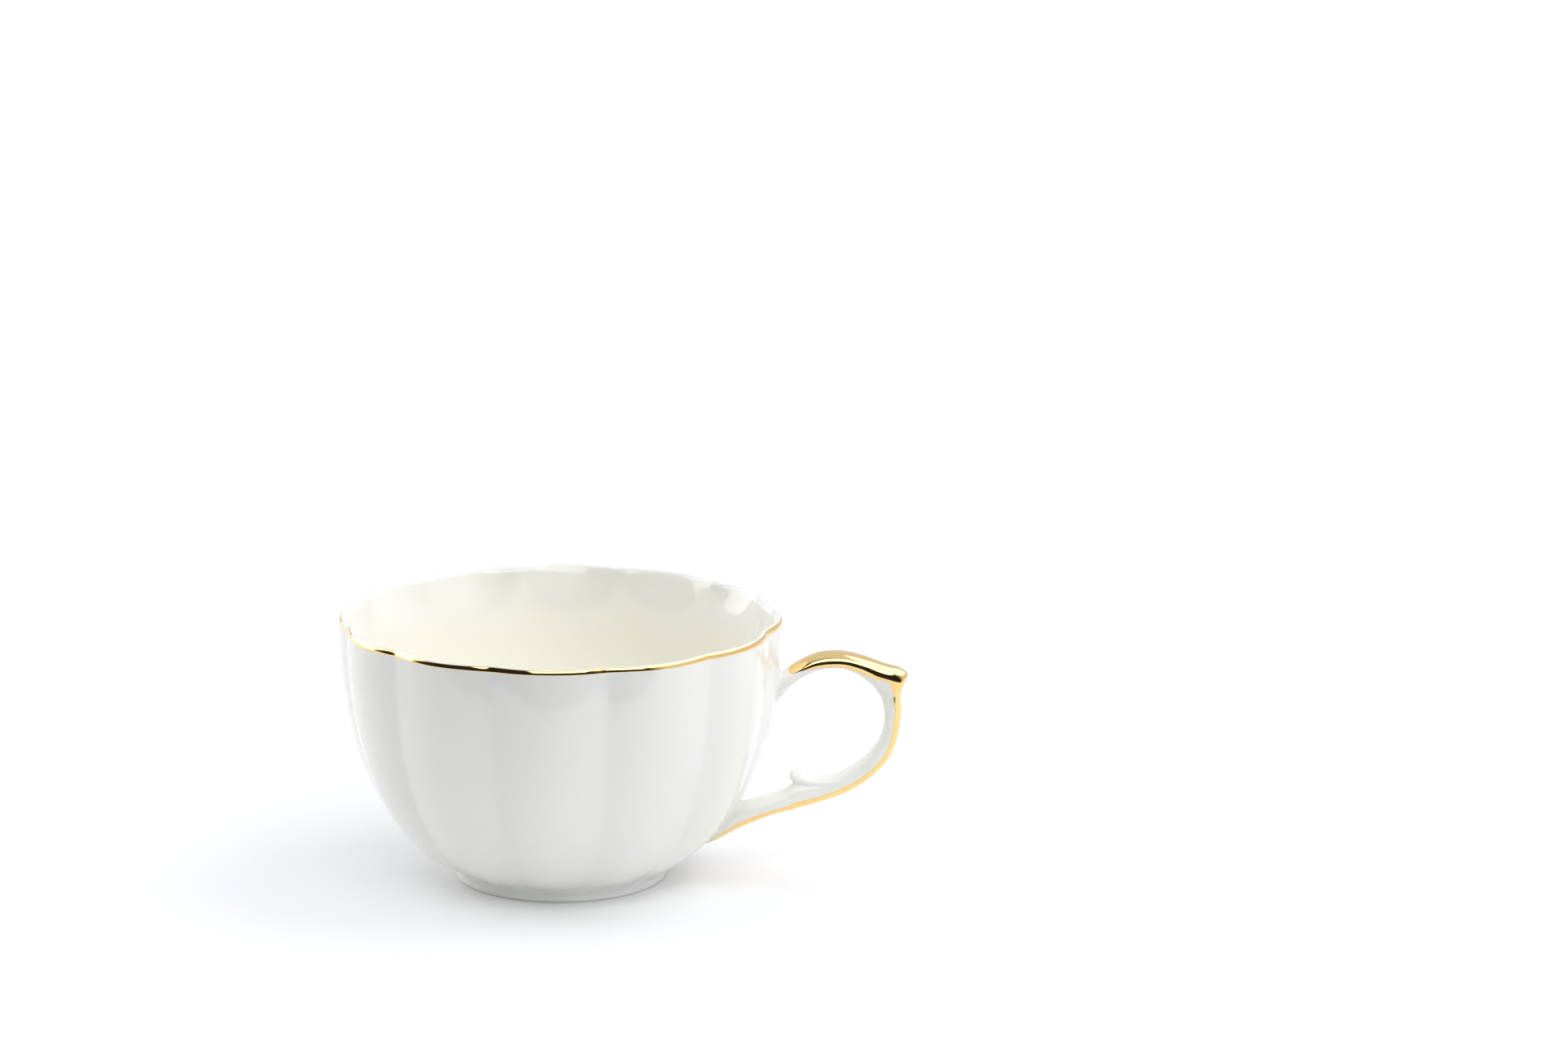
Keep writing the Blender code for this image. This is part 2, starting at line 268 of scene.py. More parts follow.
def relax(mesh, passes):
    """Evens out a mesh without shrinking it (Taubin's two-step smoothing)."""
    points = mesh_points(mesh)
    edges = np.empty(len(mesh.edges) * 2, np.int32)
    mesh.edges.foreach_get("vertices", edges)
    a, b = edges.reshape(-1, 2).T
    ends, others = np.concatenate((a, b)), np.concatenate((b, a))
    degree = np.bincount(ends, minlength=len(points))[:, None]
    steps = (0.5, -0.51)  # inward, then outward by a little more
    for i in range(2 * passes):
        total = np.stack(
            [np.bincount(ends, points[others, k], len(points)) for k in range(3)], 1
        )
        points += steps[i % 2] * (total / degree - points)
    mesh.vertices.foreach_set("co", points.astype(np.float32).ravel())
    mesh.update()


# ---------------------------------------------------------------- bowl

LOBE_COLUMNS = 28
WALL_ROWS = 76
LIP_ROWS = 24
FLOOR_ROWS = 16


def column_angles():
    """Angles around the bowl, closest together in the creases."""
    half = math.pi / LOBES
    t = np.arange(LOBE_COLUMNS) / LOBE_COLUMNS * 2 - 1
    one = half * np.sin(t * math.pi / 2)
    return np.concatenate([one + 2 * half * lobe for lobe in range(LOBES)])


ANGLES = column_angles()


def warping(angle):
    """How far from round the bowl has dried, as a share of its radius."""
    return 0.0012 * np.cos(2 * angle + 0.6) + 0.0006 * np.cos(3 * angle)


def lip_size(cosine):
    """Width and height of the quarter ellipse that a point on the lip belongs to."""
    outside = cosine > 0
    return (np.where(outside, outer, inner) for outer, inner in zip(OUTER_LIP, INNER_LIP))


def lip_point(angle):
    """Radius and height on the lip; angle 0 is its outer side, 90 degrees its crest."""
    cosine, sine = np.cos(angle), np.sin(angle)
    width, height = lip_size(cosine)
    return RIM_RADIUS - OUTER_LIP[0] + width * cosine, HEIGHT - height * (1 - sine)


def lip_normal(angle):
    """Outward and upward parts of the lip's unit normal."""
    cosine, sine = np.cos(angle), np.sin(angle)
    width, height = lip_size(cosine)
    length = np.hypot(cosine / width, sine / height)
    return cosine / width / length, sine / height / length


def inside_profile():
    """The inside's radius, height and share of the fluting, from lip to floor."""
    z = np.linspace(0, 1, WALL_ROWS) ** 1.6 * (HEIGHT - LIP_DEPTH - INSIDE_START)
    z = (z + INSIDE_START)[::-1]
    share = smooth_step(1 - (HEIGHT - z) / INNER_LOBES_FADE)
    thin = (1 - (HEIGHT - LIP_DEPTH - z) / WALL_THICKENS_OVER).clip(0) ** 2
    thickness = LOWER_WALL + (LIP_WIDTH - LOWER_WALL) * thin
    radius, height = wall_profile(z, thickness)
    return radius, smooth_maximum(height, FLOOR, FLOOR_BLEND), share


def underside_profile():
    """The underside's radius, height and share of the fluting, from the axis outward."""
    height = UNDERSIDE + UNDER_ARCH * (1 - (UNDER_RADII / ARCH_RADIUS) ** 2).clip(0)
    height -= RING_DIP * np.exp(-((UNDER_RADII - DIP_RADIUS) ** 2))
    share = UNDER_FLUTING * smooth_step((UNDER_RADII - UNDER_SMOOTH) / 2.6)
    return UNDER_RADII, height, share


def make_bowl():
    under_r, under_z, under_share = underside_profile()
    wall_height = HEIGHT - OUTER_LIP[1] - UNDERSIDE
    wall_z = UNDERSIDE + wall_height * np.linspace(0, 1, WALL_ROWS) ** 1.5
    wall_r = wall_radius(wall_z)
    wall_share = wall_r / RIM_RADIUS
    wall_share[0] *= 0.9  # the bottom row eases into the underside
    lip_angle = np.radians(np.linspace(0, LIP_END, LIP_ROWS))[1:-1]
    lip_r, lip_z = lip_point(lip_angle)
    lip_share = smooth_step(1 - (HEIGHT - lip_z) / INNER_LOBES_FADE)
    lip_share = np.where(lip_angle > math.pi / 2, lip_share, 1.0)
    in_r, in_z, in_share = inside_profile()
    floor_share = np.linspace(1, 0, FLOOR_ROWS)[1:-1]
    floor_z = FLOOR + (in_z[-1] - FLOOR) * floor_share**4

    outside_rows = len(under_r) + len(wall_r)
    inside_rows = len(in_r) + len(floor_share)
    radius = np.concatenate((under_r, wall_r, lip_r, in_r, in_r[-1] * floor_share))
    height = np.concatenate((under_z, wall_z, lip_z, in_z, floor_z))
    share = np.concatenate(
        (under_share, wall_share, lip_share, in_share, np.zeros(len(floor_share)))
    )
    roundness = np.concatenate(
        (np.zeros(outside_rows), 1 - lip_share, 1 - in_share, floor_share)
    )
    hollow = share[:, None] * (1 - fold(ANGLES))
    ring = radius[:, None] - CREASE_DEPTH * (hollow + INNER_ROUND * roundness[:, None])
    ring *= 1 + warping(ANGLES)
    rows, columns = ring.shape
    high = np.repeat(height[:, None], columns, 1)
    points = np.stack((ring * np.cos(ANGLES), ring * np.sin(ANGLES), high), -1)
    points = np.vstack((points.reshape(-1, 3), (0, 0, under_z[0]), (0, 0, FLOOR)))

    first = list(range(columns))
    last = list(range((rows - 1) * columns, rows * columns))
    faces = grid_faces(rows, columns)
    faces += pole_faces(first[::-1], rows * columns)
    faces += pole_faces(last, rows * columns + 1)
    depth = np.zeros(rows)
    depth[-inside_rows:] = (HEIGHT - height)[-inside_rows:]
    # Painted shade: the inside turns creamier and darker with depth below the rim.
    inside_shade = np.repeat(smooth_step((depth - INSIDE_SHADE_START) / INSIDE_SHADE_REACH), columns)
    attributes = {
        # Crease depth, by which the glaze is darkened as painted crease shade.
        "crease_pool_and_shade": np.concatenate((hollow.ravel(), (0, 0))),
        "inside": np.concatenate((inside_shade, (0, 1))),
    }
    return make_object("fluted_bowl", points, faces, attributes)


def make_foot_ring():
    """The ring: a bare standing face and a glazed side that sweeps up into the bowl."""
    side = FOOT_TOP_RADIUS + 0.05
    inner = side - RING_WIDTH
    outline = np.array(
        (
            (inner - 0.1, FOOT_TOP + 0.25),
            (inner + 0.05, FOOT_TOP - 0.6),
            (inner + 0.2, 0.75),
            (inner + 0.5, 0.2),
            (inner + 1.0, FOOT_BASE),
            (side - 0.3, FOOT_BASE),
            (side + 0.12, 0.13),
            (side + 0.2, 0.45),
            (side + 0.12, 1.1),
        )
    )
    ring = np.array([spline(outline, s) for s in np.linspace(0, len(outline) - 1, 49)])
    ring[:, 1] = ring[:, 1].clip(FOOT_BASE)
    t = np.linspace(0, 1, 19)[1:, None]
    weights = ((1 - t) ** 3, 3 * t * (1 - t) ** 2, 3 * t**2 * (1 - t), t**3)
    columns = []
    for angle in ANGLES:
        high, low = (
            np.array((math.hypot(x, y), z))
            for x, y, z in (wall_point(angle, SWEEP_TOP + rise) for rise in (0, -0.1))
        )
        along = unit(low - high)
        end = high + 0.03 * np.array((along[1], -along[0]))
        knots = (ring[-1], (side, 2.5), end + 2.3 * along, end)
        sweep = sum(weight * knot for weight, knot in zip(weights, knots))
        root = end + np.array((-1.0, 0.4))
        column = np.vstack((ring, sweep, root))
        columns.append([(r * math.cos(angle), r * math.sin(angle), z) for r, z in column])
    points = np.array(columns).transpose(1, 0, 2)
    faces = grid_faces(*points.shape[:2], wrap_rows=True)
    return make_object("glazed_foot_ring", points.reshape(-1, 3), faces)


# ---------------------------------------------------------------- handle


def handle_point(position, turn):
    """A point on the handle's skin: turn is the angle from the outer edge, in radians."""
    xo, zo, xi, zi, half_width, _ = spline(HANDLE_STATIONS, position)
    outer, inner = np.array((xo, zo)), np.array((xi, zi))
    centre, half_depth = (outer + inner) / 2, np.linalg.norm(outer - inner) / 2
    outward = (outer - centre) / half_depth
    sag = CREST_SAG * math.exp(-(((position - CREST_PLACE) / CREST_REACH) ** 2))
    centre = centre - outward * sag
    c, s = math.cos(turn), math.sin(turn)
    power = 2 / SECTION_POWER
    depth = (half_depth + math.copysign(sag, c)) * math.copysign(abs(c) ** power, c)
    x, z = centre + outward * depth
    return np.array((x, half_width * math.copysign(abs(s) ** power, s), z))


def handle_loft():
    turns = np.linspace(0, 2 * np.pi, 56, endpoint=False)
    places = np.linspace(0, len(HANDLE_STATIONS) - 1, 230)
    return [[handle_point(place, turn) for turn in turns] for place in places]


def spur_loft():
    places = np.linspace(0, len(SPUR_STATIONS) - 1, 41)
    rows = [spline(SPUR_STATIONS, place) for place in places]
    turns = np.linspace(0, 2 * np.pi, 40, endpoint=False)

    def ring(x, z, radius, half_width, direction):
        across = np.array((-direction[1], direction[0]))
        made = []
        for turn in turns:
            px, pz = np.array((x, z)) + across * radius * math.cos(turn)
            made.append((px, half_width * math.sin(turn), pz))
        return made

    rings = []
    for i, (x, z, radius, half_width) in enumerate(rows):
        ahead, behind = rows[min(i + 1, len(rows) - 1)], rows[max(i - 1, 0)]
        direction = unit((ahead - behind)[:2])
        rings.append(ring(x, z, radius, half_width, direction))
    for share in np.sin(np.linspace(0, math.pi / 2, 14))[1:-1]:
        size = math.sqrt(1 - share**2)
        end_x, end_z = np.array((x, z)) + direction * SPUR_END * share
        rings.append(ring(end_x, end_z, radius * size, half_width * size, direction))
    return rings


def closed_loft(rings, offset=0):
    """A skin over rings of points with both ends capped; offset is its first point's number."""
    rows, columns = len(rings), len(rings[0])
    faces = grid_faces(rows, columns, offset=offset)
    faces.append([offset + i for i in range(columns)])
    faces.append([offset + (rows - 1) * columns + i for i in range(columns)])
    return np.array(rings).reshape(-1, 3), faces


def wall_cutter(outward):
    """A solid inside the bowl's outer wall, for trimming the handle's ends."""
    heights = np.linspace(4.0, 55.0, 60)
    angles = np.linspace(0, 2 * np.pi, 144, endpoint=False)
    rings = [[wall_point(angle, z, outward) for angle in angles] for z in heights]
    return make_object("wall_cutter", *closed_loft(rings))


def make_handle():
    """Scroll and spur grown together, softened where they meet, cut off inside the wall."""
    scroll, scroll_faces = closed_loft(handle_loft())
    spur, spur_faces = closed_loft(spur_loft(), len(scroll))
    handle = make_object("scroll_handle", np.vstack((scroll, spur)), scroll_faces + spur_faces)
    remesh = handle.modifiers.new("grown together", "REMESH")
    remesh.mode = "VOXEL"
    remesh.voxel_size = VOXEL * MM
    apply_modifiers(handle)
    relax(handle.data, passes=12)
    cutter = wall_cutter(-HANDLE_ROOT)
    trim = handle.modifiers.new("trim", "BOOLEAN")
    trim.operation = "DIFFERENCE"
    trim.solver = "EXACT"
    trim.object = cutter
    apply_modifiers(handle)
    bpy.data.objects.remove(cutter)
    return handle


def wall_gap(point):
    """How far a point stands outside the wall, measured outward from the bowl's axis."""
    angle = math.atan2(point[1], point[0])
    radius = wall_radius(point[2]) * (1 - crease(angle) / RIM_RADIUS)
    return math.hypot(point[0], point[1]) - radius


def crossing(turn, low, high):
    """The place along the handle between low and high where its skin meets the wall."""
    outside_first = wall_gap(handle_point(low, turn)) > 0
    for _ in range(40):
        middle = (low + high) / 2
        if (wall_gap(handle_point(middle, turn)) > 0) == outside_first:
            low = middle
        else:
            high = middle
    return (low + high) / 2


def wall_normal(angle, z):
    step = 0.02
    turn = step / RIM_RADIUS
    along = wall_point(angle + turn, z) - wall_point(angle - turn, z)
    up = wall_point(angle, z + step) - wall_point(angle, z - step)
    return unit(np.cross(along, up))


def skin_normal(place, turn):
    """The handle's outward normal."""
    step, twist = 0.01, 0.02
    side = handle_point(place, turn + twist) - handle_point(place, turn - twist)
    forward = handle_point(place + step, turn) - handle_point(place - step, turn)
    normal = unit(np.cross(side, forward))
    xo, zo, xi, zi, _, _ = spline(HANDLE_STATIONS, place)
    middle = np.array(((xo + xi) / 2, 0, (zo + zi) / 2))
    return normal if normal @ (handle_point(place, turn) - middle) >= 0 else -normal


def further_along(place, turn, heading, distance):
    """The place on the handle that is a distance further along its skin."""
    here, gone = handle_point(place, turn), 0.0
    while gone < distance:
        place += heading * 0.01
        before, here = here, handle_point(place, turn)
        gone += np.linalg.norm(here - before)
    return place


FILLET_SINK = 0.015  # how far a fillet's edges lie under the glaze
FILLET_ROOT = 0.5  # how deep its back lies


def make_fillet(name, inside, outside, up_handle, along_wall):
    """A collar of glazed slip that curves from the handle's skin onto the wall."""
    heading = 1 if outside > inside else -1
    t = np.linspace(0, 1, 15)[:, None]
    rings = []
    for turn in np.linspace(0, 2 * np.pi, 96, endpoint=False):
        meet = crossing(turn, inside, outside)
        corner = handle_point(meet, turn)
        place = further_along(meet, turn, heading, up_handle)
        start = handle_point(place, turn)
        skin = skin_normal(place, turn)
        wall = wall_normal(math.atan2(corner[1], corner[0]), corner[2])
        end = corner + along_wall * unit(skin - (skin @ wall) * wall)
        angle = math.atan2(end[1], end[0])
        end = wall_point(angle, end[2])
        end_wall = wall_normal(angle, end[2])
        curve = (1 - t) ** 2 * start + 2 * t * (1 - t) * corner + t**2 * end
        curve[0] -= FILLET_SINK * skin
        curve[-1] -= FILLET_SINK * end_wall
        root = (
            end - FILLET_ROOT * end_wall,
            corner - FILLET_ROOT * (wall + skin),
            start - FILLET_ROOT * skin,
        )
        rings.append(np.vstack((curve, root)))
    points = np.array(rings)
    faces = grid_faces(*points.shape[:2], wrap_rows=True)
    return make_object(name, points.reshape(-1, 3), faces)


# ---------------------------------------------------------------- gilding

FILM = 0.045  # how far the rim's gold stands off the glaze
FILM_SINK = 0.02  # how far the edges of a film lie under the glaze
FILM_ROOT = 0.12  # how deep the back of a film lies in it
RIM_BAND = 1.05  # the rim's painted height in front
RIM_TOP = 66  # angle on the lip where the paint ends, in degrees
RIM_COLUMNS = 26
RIM_BORDER = 0.25  # share of a film over which it thins toward its edge
STRIP_DENSITY = 16  # rows of a strip for each handle station
STRIP_COLUMNS = 41
STRIP_BORDER = 0.2
START_TAPER, END_TAPER = 0.06, 0.03  # shares of a strip's length over which its ends close
NARROWEST = 0.02  # share of its width that a strip keeps at its ends
END_ROWS = 12  # twice the rows over which a strip's ends thin


def film_lift(edge, border, thickness):
    """How far a film's face stands off the glaze, edge being 0 along the film's outline."""
    return thickness * (1 - (1 - min(edge / border, 1)) ** 2) - FILM_SINK


def rim_band_height(angle):
    """The painted band's height down the outside: lower in front, deeper in the creases."""
    behind = 0.22 * smooth_step((1 + np.sin(angle)) / 0.8)
    wobble = 0.035 * np.sin(7 * angle + 1.0) + 0.03 * np.sin(17 * angle + 0.4)
    return RIM_BAND + 0.12 * (1 - fold(angle)) + behind + wobble


def make_rim_gilding():
    """A film on the outside of the lip whose painted borders wander a little."""
    top_end = np.radians(RIM_TOP + 3 * np.sin(5 * ANGLES + 2.0) + 2 * np.sin(13 * ANGLES))
    height = rim_band_height(ANGLES)
    straight = np.maximum(height - OUTER_LIP[1], 0)
    start = np.arcsin(np.clip(1 - height / OUTER_LIP[1], 0, 1))
    inward = crease(ANGLES) - RIM_RADIUS * warping(ANGLES)
    shares = np.linspace(0, 1, RIM_COLUMNS)
    edges = 2 * np.minimum(shares, 1 - shares)
    lifts = [film_lift(edge, RIM_BORDER, FILM) for edge in edges]
    over = list(zip(shares, edges, lifts))
    under = [(share, edge, -FILM_ROOT) for share, edge, _ in over[::-1]]
    rows, border = [], []
    for share, edge, lift in over + under:
        s = share * (straight + OUTER_LIP[1] * (top_end - start))
        on_wall = s < straight
        angle = np.where(on_wall, start, start + (s - straight) / OUTER_LIP[1])
        r, z = lip_point(angle)
        z = np.where(on_wall, HEIGHT - OUTER_LIP[1] - (straight - s), z)
        r = np.where(on_wall, wall_radius(z), r)
        out, up = lip_normal(angle)
        r, z = r - inward + lift * out, z + lift * up
        rows.append(np.stack((r * np.cos(ANGLES), r * np.sin(ANGLES), z), -1))
        border.append(np.full(len(ANGLES), edge))
    faces = grid_faces(len(rows), len(ANGLES), wrap_rows=True)
    return make_object("gold_rim", np.vstack(rows), faces, {"edge": np.concatenate(border)})


def surface_tree(objects):
    """A search tree over several objects' triangles."""
    points, faces = [], []
    for item in objects:
        item.data.calc_loop_triangles()
        base = len(points)
        points += [v.co.copy() for v in item.data.vertices]
        faces += [
            tuple(base + i for i in triangle.vertices)
            for triangle in item.data.loop_triangles
        ]
    return BVHTree.FromPolygons(points, faces)


def rounded_end(share):
    """A strip's width near its end, as a share of its full width."""
    return math.sqrt(1 - (1 - min(share, 1)) ** 2)


def make_gold_strip(name, tree, start, end, lift, wander):
    """A film of gold laid on the handle's skin between two places along it."""
    rows = int((end - start) * STRIP_DENSITY)
    rings, border = [], []
    for t in np.linspace(0, 1, rows):
        place = start + (end - start) * t
        ends = rounded_end(t / START_TAPER) * rounded_end((1 - t) / END_TAPER)
        half = math.radians(spline(HANDLE_STATIONS, place)[5]) * max(ends, NARROWEST)
        over, under, edges = [], [], []
        for u in np.linspace(-1, 1, STRIP_COLUMNS):
            drift = wander * (math.sin(3.1 * place + 2 * u) + 0.6 * math.sin(7.7 * place))
            rough = handle_point(place, (half + drift * ends) * u)
            spot, normal, _, _ = tree.find_nearest(Vector(rough * MM))
            spot, normal = np.array(spot) / MM, np.array(normal)
            edge = min(1 - abs(u), 2 * min(t, 1 - t) * rows / END_ROWS)
            over.append(spot + normal * film_lift(edge, STRIP_BORDER, lift))
            under.append(spot - normal * FILM_ROOT)
            edges.append(edge)
        rings.append(over + under[::-1])
        border.append(edges + edges[::-1])
    points, faces = closed_loft(rings)
    return make_object(name, points, faces, {"edge": np.array(border).ravel()})


# ---------------------------------------------------------------- materials


class Nodes:
    """Short calls for building a node tree."""

    def __init__(self, tree):
        self.tree = tree

    def add(self, kind, inputs=None, **settings):
        node = self.tree.nodes.new(kind)
        for key, value in settings.items():
            setattr(node, key, value)
        for key, value in (inputs or {}).items():
            if isinstance(value, bpy.types.NodeSocket):
                self.tree.links.new(value, node.inputs[key])
            else:
                node.inputs[key].default_value = value
        return node

    def noise(self, coordinates, scale, detail=2.0, roughness=0.5):
        node = self.add(
            "ShaderNodeTexNoise",
            {
                "Vector": coordinates,
                "Scale": scale,
                "Detail": detail,
                "Roughness": roughness,
            },
        )
        return node.outputs["Fac"]

    def span(self, value, low, high, to_low=0.0, to_high=1.0):
        node = self.add(
            "ShaderNodeMapRange",
            {
                "Value": value,
                "From Min": low,
                "From Max": high,
                "To Min": to_low,
                "To Max": to_high,
            },
        )
        return node.outputs["Result"]

    def math(self, operation, a, b=0.0):
        node = self.add("ShaderNodeMath", {0: a, 1: b}, operation=operation)
        return node.outputs[0]

    def mix(self, share, a, b):
        """Two colours, each a socket or three numbers, mixed by a socket."""
        a, b = (v if isinstance(v, bpy.types.NodeSocket) else (*v, 1.0) for v in (a, b))
        node = self.add("ShaderNodeMix", {0: share, 6: a, 7: b}, data_type="RGBA")
        return node.outputs[2]

    def bump(self, height, distance, normal=None):
        inputs = {"Height": height, "Distance": distance, "Strength": 1.0}
        if normal is not None:
            inputs["Normal"] = normal
        return self.add("ShaderNodeBump", inputs).outputs["Normal"]

    def attribute(self, name):
        node = self.add("ShaderNodeAttribute", attribute_name=name)
        return node.outputs["Fac"]


GLAZE_IOR = 1.52
SCATTER_RADIUS = (1.0, 0.85, 0.65)
SCATTER_DEPTH = 0.002
PORCELAIN = (0.88, 0.874, 0.825)
# Painted shade in the creases, together with the slightly cooler tint of the thicker glaze there.
POOLED_GLAZE_AND_SHADE = (0.82, 0.82, 0.785)
# Painted shade: the inside's colour, mixed in more with depth, stands in for the warm, dim light
# bounced around inside the cup.
INSIDE_SHADE_CREAM = (0.885, 0.86, 0.757)
# Painted light: the foot's glaze is lighter than the bowl's to lift the shade that the bowl casts on
# it.
FOOT_PAINTED_LIGHTER = (0.95, 0.95, 0.91)
BARE_DARK, BARE_LIGHT = (0.78, 0.74, 0.67), (0.86, 0.83, 0.77)
BARE_ROUGHNESS = 0.62
GOLD, DEEP_GOLD, THIN_GOLD = (0.98, 0.715, 0.31), (0.95, 0.65, 0.26), (0.80, 0.47, 0.20)


def new_material(name):
    material = bpy.data.materials.new(name)
    material.use_nodes = True
    nodes = Nodes(material.node_tree)
    shader = material.node_tree.nodes["Principled BSDF"]
    spot = nodes.add("ShaderNodeTexCoord").outputs["Object"]
    return material, nodes, shader, spot


def link(nodes, value, shader, socket):
    nodes.tree.links.new(value, shader.inputs[socket])


def set_porcelain(shader, scatter):
    """The glaze's refraction and the light that the body under it scatters."""
    shader.inputs["IOR"].default_value = GLAZE_IOR
    shader.inputs["Subsurface Weight"].default_value = scatter
    shader.inputs["Subsurface Radius"].default_value = SCATTER_RADIUS
    shader.inputs["Subsurface Scale"].default_value = SCATTER_DEPTH


def glaze_material(name):
    """White porcelain under a glaze, darkened in the creases by painted shade on top of the thicker
    glaze's tint, and turned creamier down the inside by painted warm shade.
    """
    material, nodes, shader, spot = new_material(name)
    cloud = nodes.span(nodes.noise(spot, 45.0, 3.0), 0.35, 0.65)
    warmer = tuple(c * f for c, f in zip(PORCELAIN, (1.0, 0.994, 0.975)))
    base = nodes.mix(cloud, PORCELAIN, warmer)
    # The creases are darkened: painted crease shade together with the thicker glaze's cooler tint.
    crease_pool_and_shade = nodes.math("MULTIPLY", nodes.attribute("crease_pool_and_shade"), 0.55)
    base = nodes.mix(crease_pool_and_shade, base, POOLED_GLAZE_AND_SHADE)
    # Painted shade: deeper inside, the colour turns to the darker cream.
    base = nodes.mix(nodes.attribute("inside"), base, INSIDE_SHADE_CREAM)
    link(nodes, base, shader, "Base Color")
    rough = nodes.span(nodes.noise(spot, 160.0, 4.0), 0.3, 0.7, 0.045, 0.10)
    link(nodes, rough, shader, "Roughness")
    waves = nodes.noise(spot, 85.0, 1.5, 0.4)
    peel = nodes.noise(spot, 950.0, 1.0, 0.4)
    normal = nodes.bump(waves, 0.00004)
    normal = nodes.bump(peel, 0.0000012, normal)
    link(nodes, normal, shader, "Normal")
    set_porcelain(shader, 0.15)
    return material


def foot_material(name):
    """Glaze on the ring's sides, painted lighter than the bowl's to lift the bowl's shade on it, and
    bare, slightly sandy porcelain where it stands.
    """
    material, nodes, shader, spot = new_material(name)
    split = nodes.add("ShaderNodeSeparateXYZ", {"Vector": spot})
    ragged = nodes.math("MULTIPLY", nodes.noise(spot, 900.0, 3.0), 0.0002)
    height = nodes.math("SUBTRACT", split.outputs["Z"], ragged)
    glazed = nodes.span(height, 0.00005, 0.00018)
    grain = nodes.span(nodes.noise(spot, 2600.0, 4.0, 0.7), 0.3, 0.7)
    bare = nodes.mix(grain, BARE_DARK, BARE_LIGHT)
    # Painted light: the glazed sides take the lighter white.
    link(nodes, nodes.mix(glazed, bare, FOOT_PAINTED_LIGHTER), shader, "Base Color")
    gloss = nodes.span(nodes.noise(spot, 160.0, 4.0), 0.3, 0.7, 0.05, 0.11)
    sides = {0: glazed, 2: BARE_ROUGHNESS, 3: gloss}
    rough = nodes.add("ShaderNodeMix", sides, data_type="FLOAT")
    link(nodes, rough.outputs[0], shader, "Roughness")
    tooth = nodes.math("MULTIPLY", grain, nodes.math("SUBTRACT", 1.0, glazed))
    normal = nodes.bump(tooth, 0.00002)
    normal = nodes.bump(nodes.noise(spot, 85.0, 1.5, 0.4), 0.00003, normal)
    link(nodes, normal, shader, "Normal")
    set_porcelain(shader, 0.1)
    return material


def gold_material(name):
    """Burnished gold: brush streaks, thinner and redder along its painted borders."""
    material, nodes, shader, spot = new_material(name)
    thin = nodes.span(nodes.attribute("edge"), 0.0, 0.22, 1.0, 0.0)
    patch = nodes.span(nodes.noise(spot, 220.0, 4.0, 0.6), 0.35, 0.7)
    base = nodes.mix(patch, GOLD, DEEP_GOLD)
    base = nodes.mix(nodes.math("MULTIPLY", thin, 0.6), base, THIN_GOLD)
    link(nodes, base, shader, "Base Color")
    streak = nodes.noise(spot, 700.0, 5.0, 0.6)
    rough = nodes.span(streak, 0.3, 0.75, 0.045, 0.125)
    rough = nodes.math("ADD", rough, nodes.math("MULTIPLY", thin, 0.05))
    link(nodes, rough, shader, "Roughness")
    normal = nodes.bump(nodes.noise(spot, 260.0, 2.0), 0.000012)
    normal = nodes.bump(nodes.noise(spot, 1500.0, 2.0), 0.0000012, normal)
    link(nodes, normal, shader, "Normal")
    shader.inputs["Metallic"].default_value = 1.0
    return material


# ---------------------------------------------------------------- stage, light, camera

FLOOR_WHITE = (0.9, 0.9, 0.9, 1)
PAPER_START, PAPER_FULL = 0.13, 0.3  # distances from the cup between which the floor turns to paper
PAPER_GLOW = 1.02
BACKDROP = 0.76  # brightness of the backdrop where the cup mirrors it
DARK_ROOM = 0.02
DARK_AZIMUTH, DARK_ELEVATION = -112, -5  # middle of the dark part of the room, in degrees
DARK_EDGE = (0.17, 0.45)  # cosines of the angles from there at which it has ended and is full
ROOM_TINT = (("Red", 0.98), ("Green", 1.0), ("Blue", 1.09))
LAMP_DISTANCE = 1.2  # metres
COOL_DAYLIGHT, WHITE = (0.96, 0.99, 1.0), (1.0, 1.0, 1.0)
# Windows: name; azimuth and elevation in degrees from the cup; size in metres; radiance; colour
WINDOWS = (
    ("front_window", -83, 42.5, (1.12, 0.7), 2.75, COOL_DAYLIGHT),
    ("front_right_window", -28, 43, (0.75, 0.6), 1.2, WHITE),
    ("right_window", 20, 50, (0.9, 0.9), 1.8, WHITE),
    ("left_rear_window", 152, 21, (1.2, 0.88), 2.2, WHITE),
)
CAMERA_PLACE = (0.04803, -0.90946, 0.28504)
CAMERA_PITCH, CAMERA_ROLL = 12.791, 0.513  # degrees downward, and about the view axis
LENS, SENSOR_WIDTH = 99.63, 36.0  # millimetres


def direction(azimuth, elevation):
    """The unit vector toward an azimuth and elevation in degrees."""
    turn, lift = math.radians(azimuth), math.radians(elevation)
    flat = math.cos(lift)
    return Vector((math.cos(turn) * flat, math.sin(turn) * flat, math.sin(lift)))


